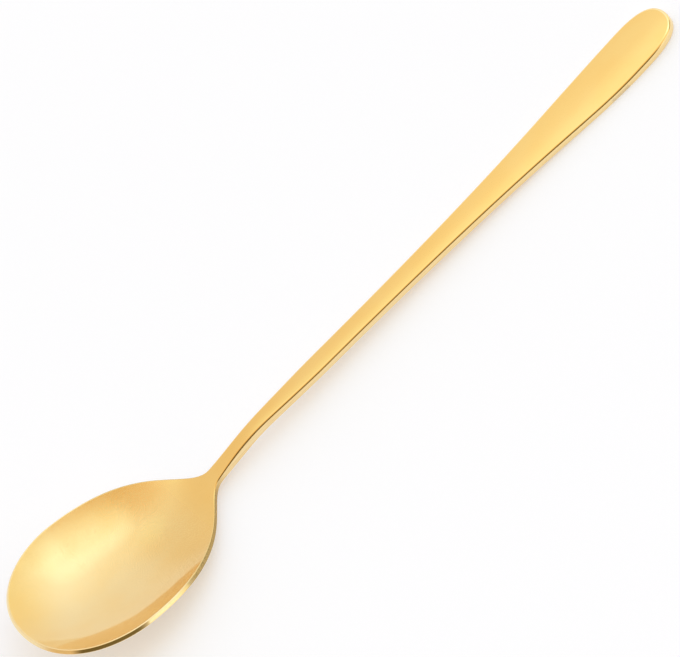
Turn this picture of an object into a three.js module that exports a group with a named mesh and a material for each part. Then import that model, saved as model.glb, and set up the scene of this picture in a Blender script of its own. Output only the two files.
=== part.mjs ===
// Soup spoon with a long slender handle: a pressed bowl and a flat handle, butted in the neck.
// Millimetres, +Z up. The spoon lies on its bowl and on the underside of the handle's wide end.
// The bowl's tip points to -X and the handle's end to +X. The origin is on the table, at mid length.

import * as THREE from 'three';
import { mergeVertices } from 'three/addons/utils/BufferGeometryUtils.js';

// Lengths along the spoon
const BOWL_LENGTH = 56.6;
const HANDLE_LENGTH = 147.8;
const WIDEST_FROM_TIP = 21.7;
const STEM_FROM_JOINT = 36;
const PADDLE_FROM_END = 14;
const SHOULDER_LENGTH = 16;
const SHOULDER_PAST_JOINT = 9.4;

// Widths in plan, along the top edges
const BOWL_WIDTH = 38.1;
const NECK_WIDTH = 4;
const STEM_WIDTH = 5;
const PADDLE_WIDTH = 12;

// Change of the half width for each millimetre towards the handle, where bowl and handle meet
const NECK_TAPER = -0.06;

// How far each end of a curve keeps its direction, as a share of the curve's own reach
const TIP_ROUNDNESS = 0.74;
const SIDE_FULLNESS = 0.385;
const SHOULDER_FULLNESS = 0.765;
const NECK_FILLET = 0.19;
const STEM_EASE = 1 / 3;
const STEM_STRAIGHTNESS = 0.694;
const FLARE_EASE = 0.192;
const END_FULLNESS = 0.327;
const END_ROUNDNESS = 1.1;
const TIP_WALL_EASE = 0.35;
const BOTTOM_BEFORE = 0.45;
const BOTTOM_AFTER = 0.43;
const HOLLOW_RUNOUT = 0.54;

// Thickness of the metal, which swells in the neck
const RIM_THICKNESS = 1.2;
const NECK_THICKNESS = 2.7;
const HANDLE_THICKNESS = 2.1;

// Radii of the edges: round along the handle's top, nearly square on the rim and underneath
const RIM_EDGE_RADIUS = 0.25;
const HANDLE_EDGE_RADIUS = 0.7;
const UNDER_EDGE_RADIUS = 0.18;

// Bowl hollow: its depth under the rim, where it is deepest, how steep it is at the tip,
// and the slope of its bottom, which runs nearly along the rim
const BOWL_DEPTH = 6.1;
const DEEPEST_FROM_TIP = 25;
const TIP_WALL_SLOPE = 0.84;
const BOTTOM_SLOPE = -0.16;

// Side profile: slopes are rises for each millimetre, measured from the straight handle
const NECK_SLOPE = 0.2265;
const NECK_BEND_LENGTH = 15.4;
const NECK_BEND_FROM_JOINT = 20.4;
const RIM_SLOPE = 0.186;
const RIM_BEND_LENGTH = 9.9;
const RIM_BEND_FROM_JOINT = 1.15;
const RIM_ARCH = 0.58;
const ARCH_RUNOUT = 2;
const LIFT_SLOPE = 0.073;
const LIFT_BEND_LENGTH = 16.7;
const LIFT_FROM_END = 29.4;

// Slope of the crowned handle top along its edges
const CROWN_SLOPE = 0.09;

// Depth of the two flats that the spoon rests on
const REST_FLAT_DEPTH = 0.2;

// Fineness of the surface
const STATIONS = { bowlTip: 16, bowlShoulder: 20, neckToStem: 10, stemToPaddle: 16, end: 12 };
const HALF_COLUMNS = 7;
const CORNER_STEPS = 3;
const SLOPE_STEP = 0.02;
const HALVINGS = 50;
const SAME_POINT = 1e-4;

const LENGTH = BOWL_LENGTH + HANDLE_LENGTH;
const STEM_X = BOWL_LENGTH + STEM_FROM_JOINT;
const PADDLE_X = LENGTH - PADDLE_FROM_END;
const { clamp, smoothstep, lerp } = THREE.MathUtils;

// Curve from one point to the next along X, with the slopes that it leaves and arrives at
function slopedCurve(start, end, startReach, endReach, startSlope = 0, endSlope = 0) {
  const span = end.x - start.x;
  const leave = new THREE.Vector2(startReach * span, startSlope * startReach * span).add(start);
  const arrive = new THREE.Vector2(-endReach * span, -endSlope * endReach * span).add(end);
  return new THREE.CubicBezierCurve(start, leave, arrive, end);
}

// Direction of a curve at a share of its way, exact at both ends
function direction({ v0, v1, v2, v3 }, share) {
  const rest = 1 - share;
  return v1.clone().sub(v0).multiplyScalar(rest * rest)
    .addScaledVector(v2.clone().sub(v1), 2 * rest * share)
    .addScaledVector(v3.clone().sub(v2), share * share);
}

// Height of a chain of curves at a place along X, found by halving
function heightOf(curves, x) {
  const curve = curves.find((piece) => x <= piece.v3.x) ?? curves.at(-1);
  let low = 0;
  let high = 1;
  for (let step = 0; step < HALVINGS; step += 1) {
    const middle = (low + high) / 2;
    if (curve.getPoint(middle).x < x) low = middle;
    else high = middle;
  }
  return curve.getPoint(high).y;
}

// Half of the plan outline, as (distance from the tip, half width) curves from tip to end
function makeOutline() {
  const tip = new THREE.Vector2(0, 0);
  const widest = new THREE.Vector2(WIDEST_FROM_TIP, BOWL_WIDTH / 2);
  const joint = new THREE.Vector2(BOWL_LENGTH, NECK_WIDTH / 2);
  const stem = new THREE.Vector2(STEM_X, STEM_WIDTH / 2);
  const paddle = new THREE.Vector2(PADDLE_X, PADDLE_WIDTH / 2);
  const end = new THREE.Vector2(LENGTH, 0);
  const tipSide = new THREE.Vector2(0, TIP_ROUNDNESS * widest.y);
  const widestBack = new THREE.Vector2(widest.x * (1 - SIDE_FULLNESS), widest.y);
  const paddleOn = new THREE.Vector2(lerp(paddle.x, end.x, END_FULLNESS), paddle.y);
  const endSide = new THREE.Vector2(end.x, END_ROUNDNESS * paddle.y);
  return {
    bowlTip: new THREE.CubicBezierCurve(tip, tipSide, widestBack, widest),
    bowlShoulder: slopedCurve(widest, joint, SHOULDER_FULLNESS, NECK_FILLET, 0, NECK_TAPER),
    neckToStem: slopedCurve(joint, stem, STEM_EASE, STEM_EASE, NECK_TAPER, 0),
    stemToPaddle: slopedCurve(stem, paddle, STEM_STRAIGHTNESS, FLARE_EASE),
    end: new THREE.CubicBezierCurve(paddle, paddleOn, endSide, end),
  };
}

const outline = makeOutline();

// Half width of the spoon at a distance from the tip
function halfWidth(x) {
  return heightOf(Object.values(outline), clamp(x, 0, LENGTH));
}

// Height of a line that turns smoothly, over a bend's length, from level to a constant slope
function bend(distance, length, slope) {
  const share = clamp(distance / length, 0, 1);
  const beyond = Math.max(distance - length, 0);
  return slope * (length * (share ** 3 - share ** 4 / 2) + beyond);
}

// Hump of height 1 that rises at once, nearer its start, and runs out softly at its end
function hump(share, runout) {
  const shape = (at) => at * (1 - at) ** runout;
  return shape(Math.min(share, 1)) / shape(1 / (1 + runout));
}

// Height of the top edge, measured from the straight handle
function edgeHeight(x) {
  const neckDrop = bend(BOWL_LENGTH + NECK_BEND_FROM_JOINT - x, NECK_BEND_LENGTH, NECK_SLOPE);
  const rimRise = bend(BOWL_LENGTH - RIM_BEND_FROM_JOINT - x, RIM_BEND_LENGTH, NECK_SLOPE + RIM_SLOPE);
  const endLift = bend(x - (LENGTH - LIFT_FROM_END), LIFT_BEND_LENGTH, LIFT_SLOPE);
  const rimArch = RIM_ARCH * hump(x / BOWL_LENGTH, ARCH_RUNOUT);
  return rimRise - neckDrop + rimArch + endLift + neckSwell(x) / 2;
}

// Lowest line of the hollow, along the middle: down from the tip and softly up into the neck
function makeKeel() {
  const tip = new THREE.Vector2(0, edgeHeight(0));
  const deepest = new THREE.Vector2(DEEPEST_FROM_TIP, edgeHeight(DEEPEST_FROM_TIP) - BOWL_DEPTH);
  const joint = new THREE.Vector2(BOWL_LENGTH, edgeHeight(BOWL_LENGTH));
  return [
    slopedCurve(tip, deepest, TIP_WALL_EASE, BOTTOM_BEFORE, -TIP_WALL_SLOPE, BOTTOM_SLOPE),
    slopedCurve(deepest, joint, BOTTOM_AFTER, HOLLOW_RUNOUT, BOTTOM_SLOPE, NECK_SLOPE),
  ];
}

const keel = makeKeel();

// Depth of the hollow on the middle line
function hollowDepth(x) {
  return x < BOWL_LENGTH ? edgeHeight(x) - heightOf(keel, x) : 0;
}

// Sheet that the metal follows: parabolic across the bowl, flat across the handle
function sheetHeight(x, y) {
  const inside = Math.max(x, SLOPE_STEP);
  return edgeHeight(x) - hollowDepth(inside) * (1 - (y / halfWidth(inside)) ** 2);
}

// Slopes of the sheet along and across the spoon
function sheetSlopes(x, y) {
  const along = sheetHeight(x + SLOPE_STEP, y) - sheetHeight(x - SLOPE_STEP, y);
  const across = sheetHeight(x, y + SLOPE_STEP) - sheetHeight(x, y - SLOPE_STEP);
  return { along: along / (2 * SLOPE_STEP), across: across / (2 * SLOPE_STEP) };
}

function sheetNormal(x, y) {
  const { along, across } = sheetSlopes(x, y);
  return new THREE.Vector3(-along, -across, 1).normalize();
}

// How much of the handle's section there is: none in the bowl, rising along the shoulder to all of it
function handleShare(x) {
  const shoulderEnd = BOWL_LENGTH + SHOULDER_PAST_JOINT;
  return smoothstep(x, shoulderEnd - SHOULDER_LENGTH, shoulderEnd);
}

// Height of the handle's crowned top over the sheet, none in the bowl and none at the top's own side
function crownHeight(x, y, side) {
  const body = halfWidth(clamp(x, WIDEST_FROM_TIP, PADDLE_X));
  return (handleShare(x) * CROWN_SLOPE * (side * side - y * y)) / (2 * body);
}

// How much thicker than the handle the neck is, which fades along the stem
function neckSwell(x) {
  const left = 1 - smoothstep(x, BOWL_LENGTH, STEM_X);
  return (NECK_THICKNESS - HANDLE_THICKNESS) * handleShare(x) * left;
}

// Thickness of the metal, from the bowl's sheet to the handle
function thickness(x) {
  return lerp(RIM_THICKNESS, HANDLE_THICKNESS, handleShare(x)) + neckSwell(x);
}

// Quarter round in the plane of the edge: how far out of the edge line and how far from the face
function corner(radius) {
  return Array.from({ length: CORNER_STEPS }, (_, step) => {
    const turn = ((step + 1) / CORNER_STEPS) * (Math.PI / 2);
    return { out: radius * (Math.sin(turn) - 1), under: radius * (1 - Math.cos(turn)) };
  });
}

// Left half of the cross section at a place on the outline, from the top middle round to the underside
function halfSection(curve, share) {
  const { x, y: half } = curve.getPoint(share);
  const run = direction(curve, share);
  const slopes = sheetSlopes(x, half);
  const normal = sheetNormal(x, half);
  const along = new THREE.Vector3(run.x, run.y, slopes.along * run.x + slopes.across * run.y);
  const outward = normal.clone().cross(along).normalize();
  const edge = new THREE.Vector3(x, half, edgeHeight(x));
  const topRadius = lerp(RIM_EDGE_RADIUS, HANDLE_EDGE_RADIUS, handleShare(x));
  const topSide = edge.clone().addScaledVector(outward, -topRadius);
  const underSide = edge.clone().addScaledVector(outward, -UNDER_EDGE_RADIUS);

  const columns = Array.from({ length: HALF_COLUMNS }, (_, column) =>
    (2 * column + 1) / (2 * HALF_COLUMNS - 1));
  const top = columns.map((column) => {
    const y = column * topSide.y;
    return new THREE.Vector3(topSide.x, y, sheetHeight(topSide.x, y) + crownHeight(topSide.x, y, topSide.y));
  });
  const upper = corner(topRadius);
  const lower = corner(UNDER_EDGE_RADIUS).map(({ out, under }) => ({ out, under: thickness(x) - under }));
  const rim = [...upper, ...lower.reverse()].map(({ out, under }) =>
    edge.clone().addScaledVector(outward, out).addScaledVector(normal, -under));
  const underside = columns.map((column) => {
    const y = column * underSide.y;
    const sheet = new THREE.Vector3(underSide.x, y, sheetHeight(underSide.x, y));
    return sheet.addScaledVector(sheetNormal(underSide.x, y), -thickness(underSide.x));
  });
  return [...top, ...rim, ...underside.reverse()];
}

// Closed cross section: the left half and its mirror image
function section(curve, share) {
  const left = halfSection(curve, share);
  const right = left.map(({ x, y, z }) => new THREE.Vector3(x, -y, z)).reverse();
  return [...left, ...right];
}

// Cross sections from the tip to the handle's end
function makeSections() {
  const rings = [section(outline.bowlTip, 0)];
  for (const [name, curve] of Object.entries(outline)) {
    for (let step = 1; step <= STATIONS[name]; step += 1) {
      rings.push(section(curve, step / STATIONS[name]));
    }
  }
  return rings;
}

// Line under the spoon that touches the bowl and the handle, as a height for each distance
function tableLine(rings) {
  const underside = rings.map((ring) => ring[ring.length / 2 - 1]);
  const hull = [];
  for (const point of underside) {
    while (hull.length > 1) {
      const [before, last] = hull.slice(-2);
      const turn = (last.x - before.x) * (point.z - before.z) - (last.z - before.z) * (point.x - before.x);
      if (turn > 0) break;
      hull.pop();
    }
    hull.push(point);
  }
  const far = hull.findIndex((point) => point.x > BOWL_LENGTH);
  const [onBowl, onHandle] = [hull[far - 1], hull[far]];
  return (x) => lerp(onBowl.z, onHandle.z, (x - onBowl.x) / (onHandle.x - onBowl.x));
}

// Stands the sections on the table. The lean is under three degrees, so it is a shear, which keeps
// every length along X. What would sink past the table is flat.
function standOnTable(rings, line) {
  return rings.map((ring) => ring.map(({ x, y, z }) =>
    new THREE.Vector3(x - LENGTH / 2, y, Math.max(z - line(x) - REST_FLAT_DEPTH, 0))));
}

// Closed skin over cross sections, with a flat face over the first or the last where they are open
function skin(rings, { faceFirst = false, faceLast = false }) {
  const corners = [];
  const addTriangle = (a, b, c) => {
    const shortest = Math.min(a.distanceTo(b), b.distanceTo(c), c.distanceTo(a));
    if (shortest > SAME_POINT) corners.push(a, b, c);
  };
  const addFace = (ring, towardsEnd) => {
    const total = ring.reduce((sum, point) => sum.add(point), new THREE.Vector3());
    const middle = total.divideScalar(ring.length);
    ring.forEach((point, index) => {
      const next = ring[(index + 1) % ring.length];
      if (towardsEnd) addTriangle(middle, next, point);
      else addTriangle(middle, point, next);
    });
  };
  rings.slice(1).forEach((ring, index) => {
    const before = rings[index];
    ring.forEach((point, place) => {
      const next = (place + 1) % ring.length;
      addTriangle(before[place], point, before[next]);
      addTriangle(before[next], point, ring[next]);
    });
  });
  if (faceFirst) addFace(rings[0], false);
  if (faceLast) addFace(rings[rings.length - 1], true);
  const geometry = mergeVertices(new THREE.BufferGeometry().setFromPoints(corners), SAME_POINT);
  geometry.computeVertexNormals();
  return geometry;
}

function goldPolish() {
  return new THREE.MeshStandardMaterial({ color: 0xf0c060, roughness: 0.15, metalness: 1 });
}

const sections = makeSections();
const standing = standOnTable(sections, tableLine(sections));
const joint = STATIONS.bowlTip + STATIONS.bowlShoulder;

const bowl = new THREE.Mesh(skin(standing.slice(0, joint + 1), { faceLast: true }), goldPolish());
bowl.name = 'bowl';

const handle = new THREE.Mesh(skin(standing.slice(joint), { faceFirst: true }), goldPolish());
handle.name = 'handle';

const spoon = new THREE.Group();
spoon.add(bowl, handle);

export default spoon;
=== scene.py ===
"""Looks of a long-handled soup spoon in mirror-polished gold, lying on a pale table."""

import logging
import math
from collections.abc import Sequence
from dataclasses import dataclass, field
from enum import Enum

import bpy
import numpy as np
from mathutils import Matrix, Vector


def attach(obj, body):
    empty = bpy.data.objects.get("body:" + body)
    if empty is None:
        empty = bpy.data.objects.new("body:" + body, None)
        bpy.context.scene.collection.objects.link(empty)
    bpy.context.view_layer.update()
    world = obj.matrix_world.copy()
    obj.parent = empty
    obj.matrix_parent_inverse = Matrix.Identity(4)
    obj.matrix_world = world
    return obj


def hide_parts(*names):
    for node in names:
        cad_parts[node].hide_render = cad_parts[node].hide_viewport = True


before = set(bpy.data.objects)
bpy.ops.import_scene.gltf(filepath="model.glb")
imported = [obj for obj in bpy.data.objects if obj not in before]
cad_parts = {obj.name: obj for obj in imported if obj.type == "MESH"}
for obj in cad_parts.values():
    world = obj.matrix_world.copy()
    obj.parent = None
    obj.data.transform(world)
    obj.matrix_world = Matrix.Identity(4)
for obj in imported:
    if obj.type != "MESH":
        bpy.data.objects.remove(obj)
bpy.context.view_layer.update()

MM = 0.001
BODY = "root"
EDGE_SHARE = "edge_share"
HALVINGS = 50
FADE_OUT = (1.0, 0.0)

# Numbers of the sockets that carry colours on Blender's mix node.
MIX_COLOURS = (6, 7)
MIX_RESULT = 2

Point = tuple[float, float]
Colour = tuple[float, float, float]
Socket = bpy.types.NodeSocket
Tint = Colour | Socket

log = logging.getLogger("soup_spoon")


class Join(Enum):
    """Ways in which a part of the room joins the light behind it."""

    REPLACE = "MIX"
    ADD = "ADD"
    SHADE = "MULTIPLY"


@dataclass(frozen=True)
class Curve:
    """Cubic curve in a plane, given by its ends and the points that it leaves and arrives by."""

    start: Point
    leave: Point
    arrive: Point
    end: Point

    @classmethod
    def sloped(cls, start: Point, end: Point, reaches: Point, slopes: Point = (0.0, 0.0)) -> "Curve":
        """Makes a curve that leaves and arrives at given slopes.

        Args:
            start: First point.
            end: Last point.
            reaches: How far each end keeps its slope, as shares of the curve's own span.
            slopes: Rise for each unit of length at the two ends.

        Returns:
            The curve.
        """
        span = end[0] - start[0]
        first = reaches[0] * span
        last = reaches[1] * span
        leave = (start[0] + first, start[1] + slopes[0] * first)
        arrive = (end[0] - last, end[1] - slopes[1] * last)
        return cls(start, leave, arrive, end)

    def points(self) -> np.ndarray:
        """Gives the four points as rows."""
        return np.array([self.start, self.leave, self.arrive, self.end])

    def at(self, share: np.ndarray) -> np.ndarray:
        """Gives the points of the curve at shares of its way.

        Args:
            share: Numbers from 0 to 1.

        Returns:
            One row for each share.
        """
        rest = 1 - share
        weights = np.stack([rest**3, 3 * rest**2 * share, 3 * rest * share**2, share**3], axis=-1)
        return weights @ self.points()

    def run(self, share: np.ndarray) -> np.ndarray:
        """Gives the directions of the curve at shares of its way.

        Args:
            share: Numbers from 0 to 1.

        Returns:
            One row for each share, not of unit length.
        """
        rest = 1 - share
        weights = np.stack([rest**2, 2 * rest * share, share**2], axis=-1)
        return weights @ np.diff(self.points(), axis=0)


def height_of(curves: Sequence[Curve], x: np.ndarray) -> np.ndarray:
    """Finds the heights of a chain of curves by halving.

    Args:
        curves: Curves one after the other along x.
        x: Places along the chain.

    Returns:
        The height at each place.
    """
    height = np.zeros_like(x)
    left = -math.inf
    for curve in curves:
        inside = (x > left) & (x <= curve.end[0])
        low = np.zeros(inside.sum())
        high = np.ones(inside.sum())
        for _ in range(HALVINGS):
            middle = (low + high) / 2
            before = curve.at(middle)[:, 0] < x[inside]
            low = np.where(before, middle, low)
            high = np.where(before, high, middle)
        height[inside] = curve.at(high)[:, 1]
        left = curve.end[0]
    return height


def bend(distance: np.ndarray, length: float, slope: float) -> np.ndarray:
    """Gives the height of a line that turns smoothly from level to a constant slope.

    Args:
        distance: Distance past the start of the bend.
        length: Length of the bend.
        slope: Rise for each unit of length past the bend.

    Returns:
        The height at each distance.
    """
    share = np.clip(distance / length, 0, 1)
    beyond = np.maximum(distance - length, 0)
    return slope * (length * (share**3 - share**4 / 2) + beyond)


def soft_step(share: np.ndarray) -> np.ndarray:
    """Gives a step that leaves 0 and reaches 1 without a kink."""
    held = np.clip(share, 0, 1)
    return held * held * (3 - 2 * held)


def unit(rows: np.ndarray) -> np.ndarray:
    """Gives the rows at unit length."""
    return rows / np.linalg.norm(rows, axis=-1, keepdims=True)


def direction(azimuth: float, elevation: float) -> Vector:
    """Gives a direction from the table.

    Args:
        azimuth: Degrees from +Y towards +X.
        elevation: Degrees above the table.

    Returns:
        The unit vector.
    """
    turn = math.radians(azimuth)
    rise = math.radians(elevation)
    return Vector((math.sin(turn) * math.cos(rise), math.cos(turn) * math.cos(rise), math.sin(rise)))


@dataclass
class SpoonShape:
    """Sizes of the spoon and the surfaces that follow from them, in the spoon's own frame."""

    bowl_length: float = 56.6 * MM
    handle_length: float = 147.8 * MM
    widest_from_tip: float = 21.7 * MM
    stem_from_joint: float = 36 * MM
    paddle_from_end: float = 14 * MM
    shoulder_length: float = 16 * MM
    shoulder_past_joint: float = 9.4 * MM
    bowl_width: float = 38.1 * MM
    neck_width: float = 4.0 * MM
    stem_width: float = 5.0 * MM
    paddle_width: float = 12.0 * MM
    neck_taper: float = -0.06
    tip_roundness: float = 0.74
    side_fullness: float = 0.385
    shoulder_fullness: float = 0.765
    neck_fillet: float = 0.19
    stem_ease: float = 1 / 3
    stem_straightness: float = 0.694
    flare_ease: float = 0.192
    end_fullness: float = 0.327
    end_roundness: float = 1.1
    rim_thickness: float = 1.2 * MM
    neck_thickness: float = 2.7 * MM
    handle_thickness: float = 2.1 * MM
    rim_edge_radius: float = 0.25 * MM
    handle_edge_radius: float = 0.7 * MM
    under_edge_radius: float = 0.18 * MM
    bowl_depth: float = 6.1 * MM
    deepest_from_tip: float = 25 * MM
    tip_wall_slope: float = 0.84
    bottom_slope: float = -0.16
    tip_wall_ease: float = 0.35
    bottom_before: float = 0.45
    bottom_after: float = 0.43
    hollow_runout: float = 0.54
    neck_slope: float = 0.2265
    neck_bend_length: float = 15.4 * MM
    neck_bend_from_joint: float = 20.4 * MM
    rim_slope: float = 0.186
    rim_bend_length: float = 9.9 * MM
    rim_bend_from_joint: float = 1.15 * MM
    rim_arch: float = 0.58 * MM
    arch_runout: float = 2
    lift_slope: float = 0.073
    lift_bend_length: float = 16.7 * MM
    lift_from_end: float = 29.4 * MM
    crown_slope: float = 0.09
    rest_flat_depth: float = 0.2 * MM
    slope_step: float = 0.02 * MM
    length: float = field(init=False)
    paddle_x: float = field(init=False)
    outline: list[Curve] = field(init=False)
    keel: list[Curve] = field(init=False)

    def __post_init__(self) -> None:
        """Draws the outline and the lowest line of the hollow."""
        self.length = self.bowl_length + self.handle_length
        self.paddle_x = self.length - self.paddle_from_end
        self.outline = self.make_outline()
        self.keel = self.make_keel()

    def make_outline(self) -> list[Curve]:
        """Draws half of the plan outline.

        Returns:
            Curves of half width over the distance from the tip.
        """
        widest = (self.widest_from_tip, self.bowl_width / 2)
        joint = (self.bowl_length, self.neck_width / 2)
        stem = (self.bowl_length + self.stem_from_joint, self.stem_width / 2)
        paddle = (self.paddle_x, self.paddle_width / 2)
        end = (self.length, 0.0)
        tip_side = (0.0, self.tip_roundness * widest[1])
        widest_back = ((1 - self.side_fullness) * widest[0], widest[1])
        paddle_on = (paddle[0] + self.end_fullness * self.paddle_from_end, paddle[1])
        end_side = (end[0], self.end_roundness * paddle[1])
        shoulder_reaches = (self.shoulder_fullness, self.neck_fillet)
        flare_reaches = (self.stem_straightness, self.flare_ease)
        return [
            Curve((0.0, 0.0), tip_side, widest_back, widest),
            Curve.sloped(widest, joint, shoulder_reaches, (0.0, self.neck_taper)),
            Curve.sloped(joint, stem, (self.stem_ease, self.stem_ease), (self.neck_taper, 0.0)),
            Curve.sloped(stem, paddle, flare_reaches),
            Curve(paddle, paddle_on, end_side, end),
        ]

    def make_keel(self) -> list[Curve]:
        """Draws the middle line of the hollow.

        Returns:
            Curves of height over the distance from the tip, down from the tip and up into the neck.
        """
        places = np.array([0.0, self.deepest_from_tip, self.bowl_length])
        tip_height, rim_height, joint_height = self.edge_height(places)
        tip = (0.0, tip_height)
        deepest = (self.deepest_from_tip, rim_height - self.bowl_depth)
        joint = (self.bowl_length, joint_height)
        front_reaches = (self.tip_wall_ease, self.bottom_before)
        back_reaches = (self.bottom_after, self.hollow_runout)
        return [
            Curve.sloped(tip, deepest, front_reaches, (-self.tip_wall_slope, self.bottom_slope)),
            Curve.sloped(deepest, joint, back_reaches, (self.bottom_slope, self.neck_slope)),
        ]

    def half_width(self, x: np.ndarray) -> np.ndarray:
        """Gives the half width of the spoon at distances from the tip."""
        return height_of(self.outline, np.clip(x, 0, self.length))

    def edge_height(self, x: np.ndarray) -> np.ndarray:
        """Gives the height of the top edge, measured from the straight handle.

        Args:
            x: Distances from the tip.

        Returns:
            The heights.
        """
        neck_from = self.bowl_length + self.neck_bend_from_joint
        rim_from = self.bowl_length - self.rim_bend_from_joint
        lift_from = self.length - self.lift_from_end
        neck_drop = bend(neck_from - x, self.neck_bend_length, self.neck_slope)
        rim_rise = bend(rim_from - x, self.rim_bend_length, self.neck_slope + self.rim_slope)
        end_lift = bend(x - lift_from, self.lift_bend_length, self.lift_slope)
        share = np.minimum(x / self.bowl_length, 1)
        crest = 1 / (1 + self.arch_runout)
        arch = share * (1 - share) ** self.arch_runout
        arch_top = crest * (1 - crest) ** self.arch_runout
        line = rim_rise - neck_drop + end_lift + self.rim_arch * arch / arch_top
        return line + self.neck_swell(x) / 2

    def hollow_depth(self, x: np.ndarray) -> np.ndarray:
        """Gives the depth of the hollow on the middle line, none in the handle."""
        inside = np.minimum(x, self.bowl_length)
        return self.edge_height(inside) - height_of(self.keel, inside)

    def sheet_height(self, x: np.ndarray, y: np.ndarray) -> np.ndarray:
        """Gives the height of the sheet that the metal follows.

        Args:
            x: Distances from the tip.
            y: Distances from the middle line.

        Returns:
            The heights, parabolic across the bowl and level across the handle.
        """
        inside = np.maximum(x, self.slope_step)
        return self.edge_height(x) - self.hollow_depth(inside) * (1 - (y / self.half_width(inside)) ** 2)

    def sheet_slopes(self, x: np.ndarray, y: np.ndarray) -> tuple[np.ndarray, np.ndarray]:
        """Gives the slopes of the sheet along and across the spoon.

        Args:
            x: Distances from the tip.
            y: Distances from the middle line.

        Returns:
            Slopes along, and slopes across.
        """
        step = self.slope_step
        inside = np.maximum(x, 2 * step)
        along = self.sheet_height(inside + step, y) - self.sheet_height(inside - step, y)
        across = self.sheet_height(inside, y + step) - self.sheet_height(inside, y - step)
        return along / (2 * step), across / (2 * step)

    def handle_share(self, x: np.ndarray) -> np.ndarray:
        """Gives how much of the handle's section there is, none in the bowl and all past the shoulder."""
        past_shoulder = x - self.bowl_length - self.shoulder_past_joint
        return soft_step(past_shoulder / self.shoulder_length + 1)

    def crown(self, x: np.ndarray) -> np.ndarray:
        """Gives the curvature of the handle's crowned top across the spoon."""
        body = self.half_width(np.clip(x, self.widest_from_tip, self.paddle_x))
        return self.handle_share(x) * self.crown_slope / body

    def neck_swell(self, x: np.ndarray) -> np.ndarray:
        """Gives how much thicker than the handle the neck is, which fades along the stem."""
        past_neck = soft_step((x - self.bowl_length) / self.stem_from_joint)
        return (self.neck_thickness - self.handle_thickness) * self.handle_share(x) * (1 - past_neck)

    def thickness(self, x: np.ndarray) -> np.ndarray:
        """Gives the thickness of the metal."""
        handle = (self.handle_thickness - self.rim_thickness) * self.handle_share(x)
        return self.rim_thickness + handle + self.neck_swell(x)

    def top_radius(self, x: np.ndarray) -> np.ndarray:
        """Gives the radius of the top's edge, small on the rim and larger on the handle."""
        return self.rim_edge_radius + (self.handle_edge_radius - self.rim_edge_radius) * self.handle_share(x)


@dataclass
class EdgeLine:
    """Top edge of the spoon before rounding, station by station from the tip to the end.

    The steps are counted along each curve of the outline.
    """

    shape: SpoonShape
    steps: Sequence[int] = (72, 88, 48, 72, 64)
    joint: int = field(init=False)
    points: np.ndarray = field(init=False)
    upward: np.ndarray = field(init=False)
    outward: np.ndarray = field(init=False)
    metal: np.ndarray = field(init=False)
    top_radius: np.ndarray = field(init=False)
    under_radius: np.ndarray = field(init=False)
    lean: np.ndarray = field(init=False)

    def __post_init__(self) -> None:
        """Walks the outline and finds which way the edge faces and how it is rounded."""
        curves = self.shape.outline
        shares = [np.arange(count) / count for count in self.steps]
        shares[-1] = np.append(shares[-1], 1.0)
        plan = np.concatenate([curve.at(share) for curve, share in zip(curves, shares)])
        run = np.concatenate([curve.run(share) for curve, share in zip(curves, shares)])
        x, half = plan.T
        along, across = self.shape.sheet_slopes(x, half)
        rise = along * run[:, 0] + across * run[:, 1]
        self.joint = self.steps[0] + self.steps[1]
        self.points = np.column_stack([plan, self.shape.edge_height(x)])
        self.upward = unit(np.column_stack([-along, -across, np.ones_like(x)]))
        self.outward = unit(np.cross(self.upward, np.column_stack([run, rise])))
        self.metal = self.shape.thickness(x)
        self.top_radius = self.shape.top_radius(x)
        self.under_radius = np.full_like(x, self.shape.under_edge_radius)
        top_half = np.maximum(half - self.top_radius, 0)
        self.lean = np.arctan(self.shape.crown(x) * top_half)

    def inset(self, distance: np.ndarray) -> np.ndarray:
        """Gives the line that lies a distance in from the edge."""
        return self.points - self.outward * distance[:, None]

    def top_inset(self) -> np.ndarray:
        """Gives the line where the top meets its rounded edge."""
        return self.inset(self.top_radius * (1 - np.sin(self.lean)))

    def under_inset(self) -> np.ndarray:
        """Gives the line where the underside meets its rounded edge, on the sheet's top."""
        return self.inset(self.under_radius)


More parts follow.
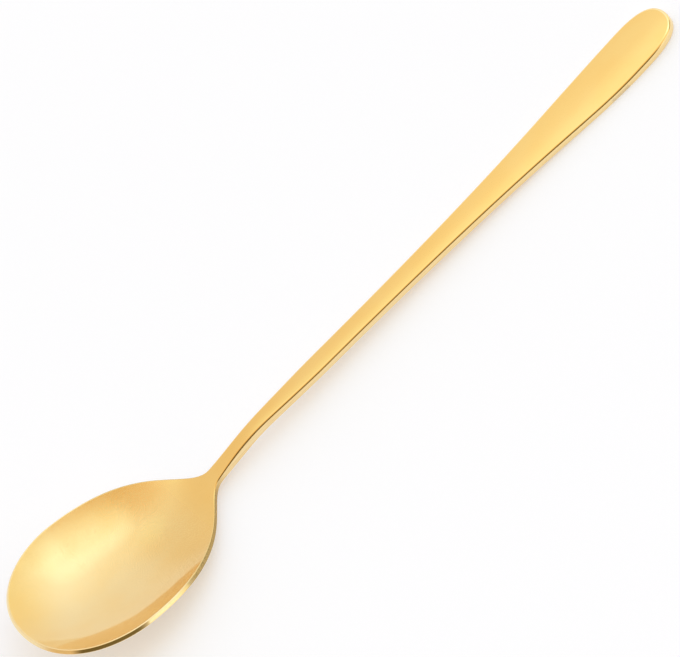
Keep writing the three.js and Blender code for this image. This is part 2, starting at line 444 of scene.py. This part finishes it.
@dataclass
class Sections:
    """Half cross sections of the spoon from tip to end, with the direction that each point faces."""

    shape: SpoonShape
    half_columns: int = 22
    corner_steps: int = 7
    edge: EdgeLine = field(init=False)
    edge_share: np.ndarray = field(init=False)
    points: np.ndarray = field(init=False)
    normals: np.ndarray = field(init=False)

    def __post_init__(self) -> None:
        """Cuts the sections and stands them on the table."""
        self.edge = EdgeLine(self.shape)
        blocks = [self.top_columns(), self.corners(), self.underside_columns()]
        points = np.concatenate([block[0] for block in blocks], axis=1)
        normals = np.concatenate([block[1] for block in blocks], axis=1)
        faces = np.zeros(self.half_columns)
        self.edge_share = np.concatenate([faces, self.turns(), np.ones(self.corner_steps), faces])
        self.points, self.normals = self.on_table(points, normals)

    def top_columns(self) -> tuple[np.ndarray, np.ndarray]:
        """Lays columns over the crowned top, from the middle out to the rounded edge.

        Returns:
            Points and normals, by section and column.
        """
        inset = self.edge.top_inset()
        x, y = self.spread_out(inset, np.linspace(0, 1, self.half_columns))
        curvature = self.shape.crown(inset[:, 0])
        crest = curvature * inset[:, 1] ** 2
        curvature_slope = np.gradient(curvature, inset[:, 0])
        crest_slope = np.gradient(crest, inset[:, 0])
        along, across = self.sheet_slopes(x, y)
        along += (crest_slope[:, None] - curvature_slope[:, None] * y**2) / 2
        across -= curvature[:, None] * y
        z = self.sheet_height(x, y) + (crest[:, None] - curvature[:, None] * y**2) / 2
        normals = unit(np.stack([-along, -across, np.ones_like(z)], axis=-1))
        return np.stack([x, y, z], axis=-1), normals

    def underside_columns(self) -> tuple[np.ndarray, np.ndarray]:
        """Lays columns over the underside, from the rounded edge in to the middle.

        Returns:
            Points and normals, by section and column.
        """
        x, y = self.spread_out(self.edge.under_inset(), np.linspace(1, 0, self.half_columns))
        along, across = self.sheet_slopes(x, y)
        upward = unit(np.stack([-along, -across, np.ones_like(y)], axis=-1))
        sheet = np.stack([x, y, self.sheet_height(x, y)], axis=-1)
        return sheet - upward * self.edge.metal[:, None, None], -upward

    def spread_out(self, inset: np.ndarray, share: np.ndarray) -> tuple[np.ndarray, np.ndarray]:
        """Spreads columns between the middle line and a line beside the edge.

        Args:
            inset: The line beside the edge.
            share: Place of each column, from 0 on the middle line to 1 on the line.

        Returns:
            Distances from the tip and from the middle line, by section and column.
        """
        y = inset[:, 1:2] * share
        return np.broadcast_to(inset[:, 0:1], y.shape), y

    def sheet_height(self, x: np.ndarray, y: np.ndarray) -> np.ndarray:
        """Gives sheet heights by section and column."""
        return self.shape.sheet_height(x.ravel(), y.ravel()).reshape(x.shape)

    def sheet_slopes(self, x: np.ndarray, y: np.ndarray) -> tuple[np.ndarray, np.ndarray]:
        """Gives sheet slopes by section and column."""
        along, across = self.shape.sheet_slopes(x.ravel(), y.ravel())
        return along.reshape(x.shape), across.reshape(x.shape)

    def turns(self) -> np.ndarray:
        """Gives how far round a corner each of its steps lies, up to 1."""
        return np.arange(1, self.corner_steps + 1) / self.corner_steps

    def corners(self) -> tuple[np.ndarray, np.ndarray]:
        """Rounds the edge over from the top and under to the underside.

        Returns:
            Points and normals, by section and step.
        """
        edge = self.edge
        quarter = math.pi / 2
        step = self.turns()
        upper = edge.lean[:, None] + (quarter - edge.lean[:, None]) * step
        lower = np.broadcast_to(quarter + quarter * (step - step[0]), upper.shape)
        top = self.corner(upper, edge.top_radius, edge.top_radius * np.cos(edge.lean))
        under = self.corner(lower, edge.under_radius, edge.metal - edge.under_radius)
        return np.concatenate([top[0], under[0]], axis=1), np.concatenate([top[1], under[1]], axis=1)

    def corner(
        self, turn: np.ndarray, radius: np.ndarray, depth: np.ndarray
    ) -> tuple[np.ndarray, np.ndarray]:
        """Rounds one corner of the edge.

        Args:
            turn: Angles from the sheet's top over to its edge, by section and step.
            radius: Radius of the corner, by section.
            depth: Depth of the corner's centre under the sheet's top, by section.

        Returns:
            Points and normals, by section and step.
        """
        outward = self.edge.outward[:, None]
        upward = self.edge.upward[:, None]
        normals = outward * np.sin(turn)[..., None] + upward * np.cos(turn)[..., None]
        reach = radius[:, None, None]
        centre = self.edge.points[:, None] - outward * reach - upward * depth[:, None, None]
        return centre + normals * reach, normals

    def table_line(self, points: np.ndarray) -> tuple[float, float]:
        """Finds the line under the spoon that touches the bowl and the handle.

        Args:
            points: Half sections.

        Returns:
            Height at the tip, and slope.
        """
        hull: list[np.ndarray] = []
        underside = points[:, -1, ::2]
        for point in underside:
            while len(hull) > 1:
                run = hull[-1] - hull[-2]
                reach = point - hull[-2]
                if run[0] * reach[1] - run[1] * reach[0] > 0:
                    break
                hull.pop()
            hull.append(point)
        far = next(place for place, point in enumerate(hull) if point[0] > self.shape.bowl_length)
        on_bowl, on_handle = hull[far - 1], hull[far]
        slope = (on_handle[1] - on_bowl[1]) / (on_handle[0] - on_bowl[0])
        return on_bowl[1] - slope * on_bowl[0], slope

    def on_table(self, points: np.ndarray, normals: np.ndarray) -> tuple[np.ndarray, np.ndarray]:
        """Stands the half sections on the table, with flats where they would sink past it.

        Args:
            points: Half sections in the spoon's own frame.
            normals: Directions that the points face.

        Returns:
            Points and normals in the shared frame.
        """
        start, slope = self.table_line(points)
        placed = points.copy()
        placed[..., 0] -= self.shape.length / 2
        placed[..., 2] -= start + slope * points[..., 0] + self.shape.rest_flat_depth
        turned = normals.copy()
        turned[..., 0] += slope * normals[..., 2]
        turned = unit(turned)
        sunk = placed[..., 2] < 0
        placed[sunk, 2] = 0
        turned[sunk] = (0.0, 0.0, -1.0)
        return placed, turned


@dataclass
class Skin:
    """Closed mesh over a run of sections, with a flat lid on the end that meets the other piece."""

    sections: Sections
    first: int
    last: int
    vertices: list[list[float]] = field(default_factory=list)
    facing: list[list[float]] = field(default_factory=list)
    edge_share: list[float] = field(default_factory=list)
    faces: list[list[int]] = field(default_factory=list)
    lid_faces: int = 0

    def add(self, point: np.ndarray, normal: np.ndarray, edge_share: float) -> int:
        """Adds one vertex with the direction that it faces.

        Args:
            point: Where it lies.
            normal: The direction.
            edge_share: How far it lies round the edge, from 0 on the faces to 1 on the side.

        Returns:
            Its number.
        """
        self.vertices.append(point.tolist())
        self.facing.append(normal.tolist())
        self.edge_share.append(edge_share)
        return len(self.vertices) - 1

    def ring(self, station: int) -> list[int]:
        """Adds the vertices round one section.

        Args:
            station: Number of the section.

        Returns:
            Vertex numbers; at the tip and the end they repeat where points meet on the middle line.
        """
        points = self.sections.points[station]
        normals = self.sections.normals[station]
        shares = self.sections.edge_share.tolist()
        left: list[int] = []
        for number, point in enumerate(points):
            if number and np.array_equal(point, points[number - 1]):
                left.append(left[-1])
            else:
                left.append(self.add(point, normals[number], shares[number]))
        inner = range(len(points) - 2, 0, -1)
        if station in (0, len(self.sections.points) - 1):
            return left + [left[number] for number in inner]
        mirror = np.array([1, -1, 1])
        return left + [self.add(points[n] * mirror, normals[n] * mirror, shares[n]) for n in inner]

    def build(self, name: str) -> bpy.types.Object:
        """Makes the mesh object.

        Args:
            name: Name of the piece.

        Returns:
            The object, in the shared frame.
        """
        rings = [self.ring(station) for station in range(self.first, self.last + 1)]
        for before, after in zip(rings, rings[1:]):
            for number in range(len(before)):
                on = (number + 1) % len(before)
                corners = [before[number], after[number], after[on], before[on]]
                face = list(dict.fromkeys(corners))
                if len(face) > 2:
                    self.faces.append(face)
        if self.first > 0:
            self.add_lid(rings[0], -1)
        if self.last < len(self.sections.points) - 1:
            self.add_lid(rings[-1], 1)
        return self.make_object(name)

    def add_lid(self, ring: list[int], side: int) -> None:
        """Closes an open end with a fan of flat faces.

        Args:
            ring: Vertex numbers of the end section.
            side: 1 if the lid faces +X, -1 if it faces -X.
        """
        middle = np.mean([self.vertices[number] for number in ring], axis=0)
        hub = self.add(middle, np.array([float(side), 0.0, 0.0]), 0.0)
        for number, after in zip(ring, ring[1:] + ring[:1]):
            self.faces.append([hub, after, number][::side])
        self.lid_faces = len(ring)

    def make_object(self, name: str) -> bpy.types.Object:
        """Turns the lists into an object with the surface's own normals.

        Args:
            name: Name of the piece.

        Returns:
            The object, linked to the scene.
        """
        mesh = bpy.data.meshes.new(name)
        mesh.from_pydata(self.vertices, [], self.faces)
        mesh.polygons.foreach_set("use_smooth", [True] * len(self.faces))
        lid_start = len(self.faces) - self.lid_faces
        loops: list[list[float]] = []
        for number, face in enumerate(self.faces):
            on_lid = number >= lid_start
            loops += [self.facing[-1] if on_lid else self.facing[corner] for corner in face]
        mesh.normals_split_custom_set(loops)
        share = mesh.attributes.new(EDGE_SHARE, "FLOAT", "POINT")
        share.data.foreach_set("value", self.edge_share)
        mesh.update()
        piece = bpy.data.objects.new(name, mesh)
        bpy.context.scene.collection.objects.link(piece)
        return piece


@dataclass
class Nodes:
    """Short ways to lay the nodes of one material or of the world."""

    tree: bpy.types.NodeTree

    def add(self, kind: str, **settings: object) -> bpy.types.Node:
        """Adds a node.

        Args:
            kind: Blender's name of the node type.
            **settings: Properties of the node.

        Returns:
            The node.
        """
        node = self.tree.nodes.new(kind)
        for name, value in settings.items():
            setattr(node, name, value)
        return node

    def link(self, source: Socket, target: Socket) -> None:
        """Joins two sockets."""
        self.tree.links.new(source, target)

    def place(self) -> Socket:
        """Gives a socket with the place on the object, in metres."""
        return self.add("ShaderNodeTexCoord").outputs["Object"]

    def math(self, operation: str, first: Socket, second: Socket | float) -> Socket:
        """Works out one number from two.

        Args:
            operation: Blender's name of the operation.
            first: Socket with the first number.
            second: The second number, or a socket with it.

        Returns:
            The result's socket.
        """
        node = self.add("ShaderNodeMath", operation=operation)
        self.link(first, node.inputs[0])
        if isinstance(second, Socket):
            self.link(second, node.inputs[1])
        else:
            node.inputs[1].default_value = second
        return node.outputs[0]

    def spread(self, value: Socket, source: Point, target: Point = (0.0, 1.0)) -> Socket:
        """Maps a range softly to another one.

        Args:
            value: The socket to map.
            source: Ends of the range that comes in.
            target: Ends of the range that goes out.

        Returns:
            The result's socket.
        """
        node = self.add("ShaderNodeMapRange", interpolation_type="SMOOTHSTEP")
        self.link(value, node.inputs["Value"])
        node.inputs["From Min"].default_value, node.inputs["From Max"].default_value = source
        node.inputs["To Min"].default_value, node.inputs["To Max"].default_value = target
        return node.outputs["Result"]

    def blend(self, share: Socket, first: Tint, second: Tint, join: Join = Join.REPLACE) -> Socket:
        """Joins two colours.

        Args:
            share: Socket with the share of the second colour.
            first: A colour or a socket.
            second: A colour or a socket.
            join: How the second joins the first.

        Returns:
            The joined colour's socket.
        """
        node = self.add("ShaderNodeMix", data_type="RGBA", blend_type=join.value)
        self.link(share, node.inputs["Factor"])
        for number, value in zip(MIX_COLOURS, (first, second)):
            if isinstance(value, Socket):
                self.link(value, node.inputs[number])
            else:
                node.inputs[number].default_value = (*value, 1.0)
        return node.outputs[MIX_RESULT]

    def noise(self, scale: Sequence[float], detail: float) -> Socket:
        """Adds a noise stretched along the axes.

        Args:
            scale: Number of features for each metre along x, y and z.
            detail: Octaves of finer noise.

        Returns:
            The noise's socket, from 0 to 1.
        """
        stretch = self.add("ShaderNodeMapping")
        stretch.inputs["Scale"].default_value = scale
        self.link(self.place(), stretch.inputs["Vector"])
        node = self.add("ShaderNodeTexNoise", noise_dimensions="3D")
        node.inputs["Scale"].default_value = 1.0
        node.inputs["Detail"].default_value = detail
        self.link(stretch.outputs["Vector"], node.inputs["Vector"])
        return node.outputs["Fac"]


@dataclass(frozen=True)
class GoldPolish:
    """Mirror-polished gold coat, satin in the hollow, with painted light in its colour: the hollow paler and
    the neck darker, the edges pale partly from wear and partly as a painted sheen, and the shoulder's edges
    dark as a painted dark reflection.

    The satin lines are finer than a pixel, so they only soften what the hollow mirrors.
    """

    name: str = "gold_polish"
    # The tones along the spoon hold painted light: the hollow is painted paler, as if lit by cooler light,
    # and the neck darker, as painted shade.
    hollow_cool_lit_tone: Colour = (0.85, 0.595, 0.239)
    neck_shaded_tone: Colour = (0.88, 0.565, 0.184)
    end_tone: Colour = (0.974, 0.66, 0.223)
    hollow_to_neck: Point = (-64 * MM, -46 * MM)
    neck_to_end: Point = (-40 * MM, 60 * MM)
    cloud_tint: Colour = (1.0, 0.955, 0.87)
    # Pale edge tone: partly wear, partly a painted sheen of the bright table that the edges mirror.
    wear_and_sheen_tone: Colour = (0.98, 0.84, 0.52)
    # Painted dark reflection on the shoulder's edges, standing in for shade that the real edge mirrors.
    painted_shoulder_shade: Colour = (0.2, 0.15, 0.055)
    shoulder_start: Point = (-73 * MM, -65 * MM)
    shoulder_end: Point = (-50 * MM, -43 * MM)
    wear_and_sheen_range: Point = (0.4, 0.75)
    roughness: Point = (0.05, 0.11)
    satin_roughness: float = 0.42
    satin_span: Point = (0.45, 0.55)
    satin_scale: Sequence[float] = (1500.0, 42000.0, 42000.0)
    satin_detail: float = 0.0
    cloud_scale: Sequence[float] = (70.0, 110.0, 110.0)
    line_scale: Sequence[float] = (70.0, 5200.0, 5200.0)
    noise_span: Point = (0.3, 0.7)
    cloud_detail: float = 3.0
    line_detail: float = 2.0
    line_height: float = 0.0006 * MM
    line_strength: float = 0.12

    def material(self) -> bpy.types.Material:
        """Lays the material's nodes.

        Returns:
            The material.
        """
        material = bpy.data.materials.new(self.name)
        material.use_nodes = True
        nodes = Nodes(material.node_tree)
        shader = material.node_tree.nodes["Principled BSDF"]
        shader.inputs["Metallic"].default_value = 1.0
        clouds = nodes.spread(nodes.noise(self.cloud_scale, self.cloud_detail), self.noise_span)
        lines = nodes.noise(self.line_scale, self.line_detail)
        axes = nodes.add("ShaderNodeSeparateXYZ")
        nodes.link(nodes.place(), axes.inputs["Vector"])
        along = axes.outputs["X"]
        edge = nodes.add("ShaderNodeAttribute", attribute_name=EDGE_SHARE).outputs["Fac"]
        nodes.link(self.tone(nodes, along, edge, clouds, lines), shader.inputs["Base Color"])
        nodes.link(self.haze(nodes, along, edge, clouds, lines), shader.inputs["Roughness"])
        bump = nodes.add("ShaderNodeBump")
        bump.inputs["Strength"].default_value = self.line_strength
        bump.inputs["Distance"].default_value = self.line_height
        nodes.link(lines, bump.inputs["Height"])
        nodes.link(bump.outputs["Normal"], shader.inputs["Normal"])
        return material

    def tone(self, nodes: Nodes, along: Socket, edge: Socket, clouds: Socket, lines: Socket) -> Socket:
        """Mixes the colour of the coat, with painted light: paler in the hollow, as if lit by cooler light,
        darker towards the neck as painted shade, and painted sheen and shade on the edges.

        Args:
            nodes: The material's nodes.
            along: Socket with the place along the spoon.
            edge: Socket that rises from 0 on the faces to 1 on the side.
            clouds: Socket with broad patches.
            lines: Socket with the polishing lines.

        Returns:
            The colour's socket.
        """
        past_hollow = nodes.spread(along, self.hollow_to_neck)
        past_neck = nodes.spread(along, self.neck_to_end)
        tone = nodes.blend(past_hollow, self.hollow_cool_lit_tone, self.neck_shaded_tone)
        tone = nodes.blend(past_neck, tone, self.end_tone)
        clouded = nodes.blend(clouds, tone, self.cloud_tint, Join.SHADE)
        # Pale edges, partly wear and partly painted sheen; along the shoulder, a painted dark reflection.
        wear_and_sheen_mask = nodes.math("MULTIPLY", edge, nodes.spread(lines, self.noise_span, self.wear_and_sheen_range))
        return nodes.blend(wear_and_sheen_mask, clouded, self.edge_tone(nodes, along))

    def edge_tone(self, nodes: Nodes, along: Socket) -> Socket:
        """Mixes the colour of the edges: pale, partly from wear and partly as a painted sheen, and dark
        along the shoulder as a painted dark reflection.

        Args:
            nodes: The material's nodes.
            along: Socket with the place along the spoon.

        Returns:
            The colour's socket.
        """
        past_start = nodes.spread(along, self.shoulder_start)
        before_end = nodes.spread(along, self.shoulder_end, FADE_OUT)
        on_shoulder = nodes.math("MULTIPLY", past_start, before_end)
        # Painted dark reflection on the shoulder's edges, over the pale edge tone.
        return nodes.blend(on_shoulder, self.wear_and_sheen_tone, self.painted_shoulder_shade)

    def haze(self, nodes: Nodes, along: Socket, edge: Socket, clouds: Socket, lines: Socket) -> Socket:
        """Mixes the roughness: a mirror all over, with fine satin lines in the hollow alone.

        Args:
            nodes: The material's nodes.
            along: Socket with the place along the spoon.
            edge: Socket that rises from 0 on the faces to 1 on the side.
            clouds: Socket with broad patches.
            lines: Socket with the polishing lines.

        Returns:
            The roughness's socket.
        """
        mirror = nodes.spread(nodes.math("MULTIPLY", clouds, lines), self.noise_span, self.roughness)
        scratches = nodes.noise(self.satin_scale, self.satin_detail)
        satin = nodes.spread(scratches, self.satin_span, (0.0, self.satin_roughness))
        in_hollow = nodes.spread(along, self.hollow_to_neck, FADE_OUT)
        off_edge = nodes.spread(edge, (0.0, 1.0), FADE_OUT)
        satin = nodes.math("MULTIPLY", satin, nodes.math("MULTIPLY", in_hollow, off_edge))
        return nodes.math("ADD", mirror, satin)


@dataclass(frozen=True)
class TableTop:
    """Smooth pale table that shows as white and keeps the spoon's shadow.

    Its glow is seen, also in the spoon, but lights nothing.
    """

    name: str = "pale_table"
    tone: Colour = (0.6, 0.6, 0.6)
    cloud_tone: Colour = (0.62, 0.62, 0.62)
    roughness: float = 0.9
    glow: float = 0.42
    glow_tone: Colour = (1.0, 1.0, 1.0)
    cloud_scale: Sequence[float] = (3.0, 3.0, 3.0)
    cloud_detail: float = 2.0

    def material(self) -> bpy.types.Material:
        """Lays the material's nodes.

        Returns:
            The material.
        """
        material = bpy.data.materials.new(self.name)
        material.use_nodes = True
        nodes = Nodes(material.node_tree)
        shader = material.node_tree.nodes["Principled BSDF"]
        shader.inputs["Roughness"].default_value = self.roughness
        shader.inputs["Specular IOR Level"].default_value = 0.0
        shader.inputs["Emission Color"].default_value = (*self.glow_tone, 1.0)
        clouds = nodes.noise(self.cloud_scale, self.cloud_detail)
        nodes.link(nodes.blend(clouds, self.tone, self.cloud_tone), shader.inputs["Base Color"])
        ray = nodes.add("ShaderNodeLightPath")
        seen = nodes.math("MAXIMUM", ray.outputs["Is Camera Ray"], ray.outputs["Is Glossy Ray"])
        seen = nodes.math("MAXIMUM", seen, ray.outputs["Is Transmission Ray"])
        nodes.link(nodes.math("MULTIPLY", seen, self.glow), shader.inputs["Emission Strength"])
        return material


@dataclass
class Bowl:
    """The spoon's bowl, from the tip to the joint in the neck."""

    sections: Sections
    finish: bpy.types.Material
    piece: bpy.types.Object | None = None

    def build(self) -> bpy.types.Object:
        """Makes the bowl's mesh.

        Returns:
            The object.
        """
        self.piece = Skin(self.sections, 0, self.sections.edge.joint).build("bowl_polished")
        return self.piece

    def dress(self) -> None:
        """Gives the bowl its finish and its place in the frame."""
        self.piece.data.materials.append(self.finish)
        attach(self.piece, BODY)
        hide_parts("bowl")


@dataclass
class Handle:
    """The spoon's handle, from the joint in the neck to the rounded end."""

    sections: Sections
    finish: bpy.types.Material
    piece: bpy.types.Object | None = None

    def build(self) -> bpy.types.Object:
        """Makes the handle's mesh.

        Returns:
            The object.
        """
        last = len(self.sections.points) - 1
        self.piece = Skin(self.sections, self.sections.edge.joint, last).build("handle_polished")
        return self.piece

    def dress(self) -> None:
        """Gives the handle its finish and its place in the frame."""
        self.piece.data.materials.append(self.finish)
        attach(self.piece, BODY)
        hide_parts("handle")


@dataclass(frozen=True)
class RoomPart:
    """Soft round part of the room, by where its middle is and how far off it begins and is full.

    All but the light are in degrees. A part that shades has a light that multiplies what is behind it.
    """

    azimuth: float
    elevation: float
    begins: float
    full: float
    light: Colour
    join: Join

    def join_to(self, nodes: Nodes, way: Socket, light: Tint) -> Socket:
        """Joins the part to the light behind it.

        Args:
            nodes: The world's nodes.
            way: Socket with the way that is looked along.
            light: Colour or socket of the light behind.

        Returns:
            Socket with the light of both.
        """
        nearness = nodes.add("ShaderNodeVectorMath", operation="DOT_PRODUCT")
        nodes.link(way, nearness.inputs[0])
        nearness.inputs[1].default_value = direction(self.azimuth, self.elevation)
        span = (math.cos(math.radians(self.begins)), math.cos(math.radians(self.full)))
        share = nodes.spread(nearness.outputs["Value"], span)
        return nodes.blend(share, light, self.light, self.join)


@dataclass
class Studio:
    """Pale table in a softly lit room, with a high key light, a low window and dark parts between them."""

    table: TableTop = TableTop()
    table_size: float = 12.0
    room_light: Colour = (0.965, 0.962, 0.99)
    cool_side: RoomPart = RoomPart(89.6, -21.9, 97.7, 80.9, (1.056, 1.201, 1.647), Join.REPLACE)
    key: RoomPart = RoomPart(143.7, 57.0, 75.3, 0.0, (0.256, 0.323, 0.381), Join.ADD)
    glint: RoomPart = RoomPart(107.0, 66.0, 23.0, 0.0, (0.2, 0.5, 0.85), Join.ADD)
    streak: RoomPart = RoomPart(116.0, 46.0, 17.0, 0.0, (0.04, 0.24, 0.32), Join.ADD)
    warm_side: RoomPart = RoomPart(104.3, -10.0, 69.2, 4.4, (1.171, 1.109, 0.691), Join.REPLACE)
    warm_shade: RoomPart = RoomPart(206.6, 18.9, 86.2, 53.8, (0.82, 0.621, 0.391), Join.SHADE)
    dark_corner: RoomPart = RoomPart(202.0, 22.0, 42.0, 25.0, (0.22, 0.22, 0.15), Join.SHADE)
    dark_side: RoomPart = RoomPart(108.0, -2.0, 27.0, 20.0, (0.25, 0.22, 0.18), Join.SHADE)
    overhead: RoomPart = RoomPart(8.0, 68.0, 14.0, 2.0, (0.02, 0.12, 0.14), Join.ADD)
    window: RoomPart = RoomPart(151.0, 4.0, 18.0, 13.0, (0.32, 0.46, 0.5), Join.ADD)

    def build(self) -> None:
        """Makes the table and the light."""
        self.build_table()
        self.build_room()

    def build_table(self) -> None:
        """Lays the table under the spoon."""
        half = self.table_size / 2
        mesh = bpy.data.meshes.new("table_top")
        corners = [(-half, -half, 0), (half, -half, 0), (half, half, 0), (-half, half, 0)]
        mesh.from_pydata(corners, [], [(0, 1, 2, 3)])
        table = bpy.data.objects.new("table_top", mesh)
        table.data.materials.append(self.table.material())
        bpy.context.scene.collection.objects.link(table)

    def build_room(self) -> None:
        """Lights the spoon from all round."""
        world = bpy.data.worlds.new("soft_room")
        bpy.context.scene.world = world
        world.use_nodes = True
        nodes = Nodes(world.node_tree)
        way = nodes.add("ShaderNodeTexCoord").outputs["Generated"]
        light: Tint = self.room_light
        lights = (self.cool_side, self.key, self.glint, self.streak, self.warm_side)
        shades = (self.warm_shade, self.dark_corner, self.dark_side)
        for part in (*lights, *shades, self.overhead, self.window):
            light = part.join_to(nodes, way, light)
        nodes.link(light, world.node_tree.nodes["Background"].inputs["Color"])


@dataclass
class PhotoCamera:
    """Far camera at the photograph's viewing angle, rolled as the spoon lies in the picture."""

    azimuth: float = -5.861
    elevation: float = 54.787
    roll: float = 41.267
    distance: float = 5.17
    picture_width: int = 680
    pixels_for_mm: float = 4.3774
    sensor_width: float = 36.0
    origin_right: float = 4.29 * MM
    origin_down: float = 2.033 * MM

    def build(self) -> None:
        """Makes the camera and hands it to the scene."""
        back = direction(180 - self.azimuth, self.elevation)
        turn = math.radians(self.azimuth)
        level = Vector((math.cos(turn), math.sin(turn), 0))
        upright = back.cross(level)
        roll = math.radians(self.roll)
        right = level * math.cos(roll) - upright * math.sin(roll)
        up = level * math.sin(roll) + upright * math.cos(roll)
        seen = self.picture_width / self.pixels_for_mm * MM
        camera = bpy.data.cameras.new("photo_camera")
        camera.sensor_width = self.sensor_width
        camera.lens = self.sensor_width * self.distance / seen
        camera.clip_end = 2 * self.distance
        eye = bpy.data.objects.new("photo_camera", camera)
        aim = up * self.origin_down - right * self.origin_right
        turned = Matrix((right, up, back)).transposed()
        eye.matrix_world = Matrix.Translation(aim + back * self.distance) @ turned.to_4x4()
        bpy.context.scene.collection.objects.link(eye)
        bpy.context.scene.camera = eye


def main() -> None:
    """Builds the spoon, the studio and the camera."""
    logging.basicConfig(level=logging.INFO, format="%(name)s: %(message)s")
    bpy.context.scene.view_settings.view_transform = "Standard"
    PhotoCamera().build()
    sections = Sections(SpoonShape())
    finish = GoldPolish().material()
    for part in (Bowl(sections, finish), Handle(sections, finish)):
        piece = part.build()
        part.dress()
        log.info("%s: %d faces", piece.name, len(piece.data.polygons))
    Studio().build()


if __name__ == "__main__":
    main()
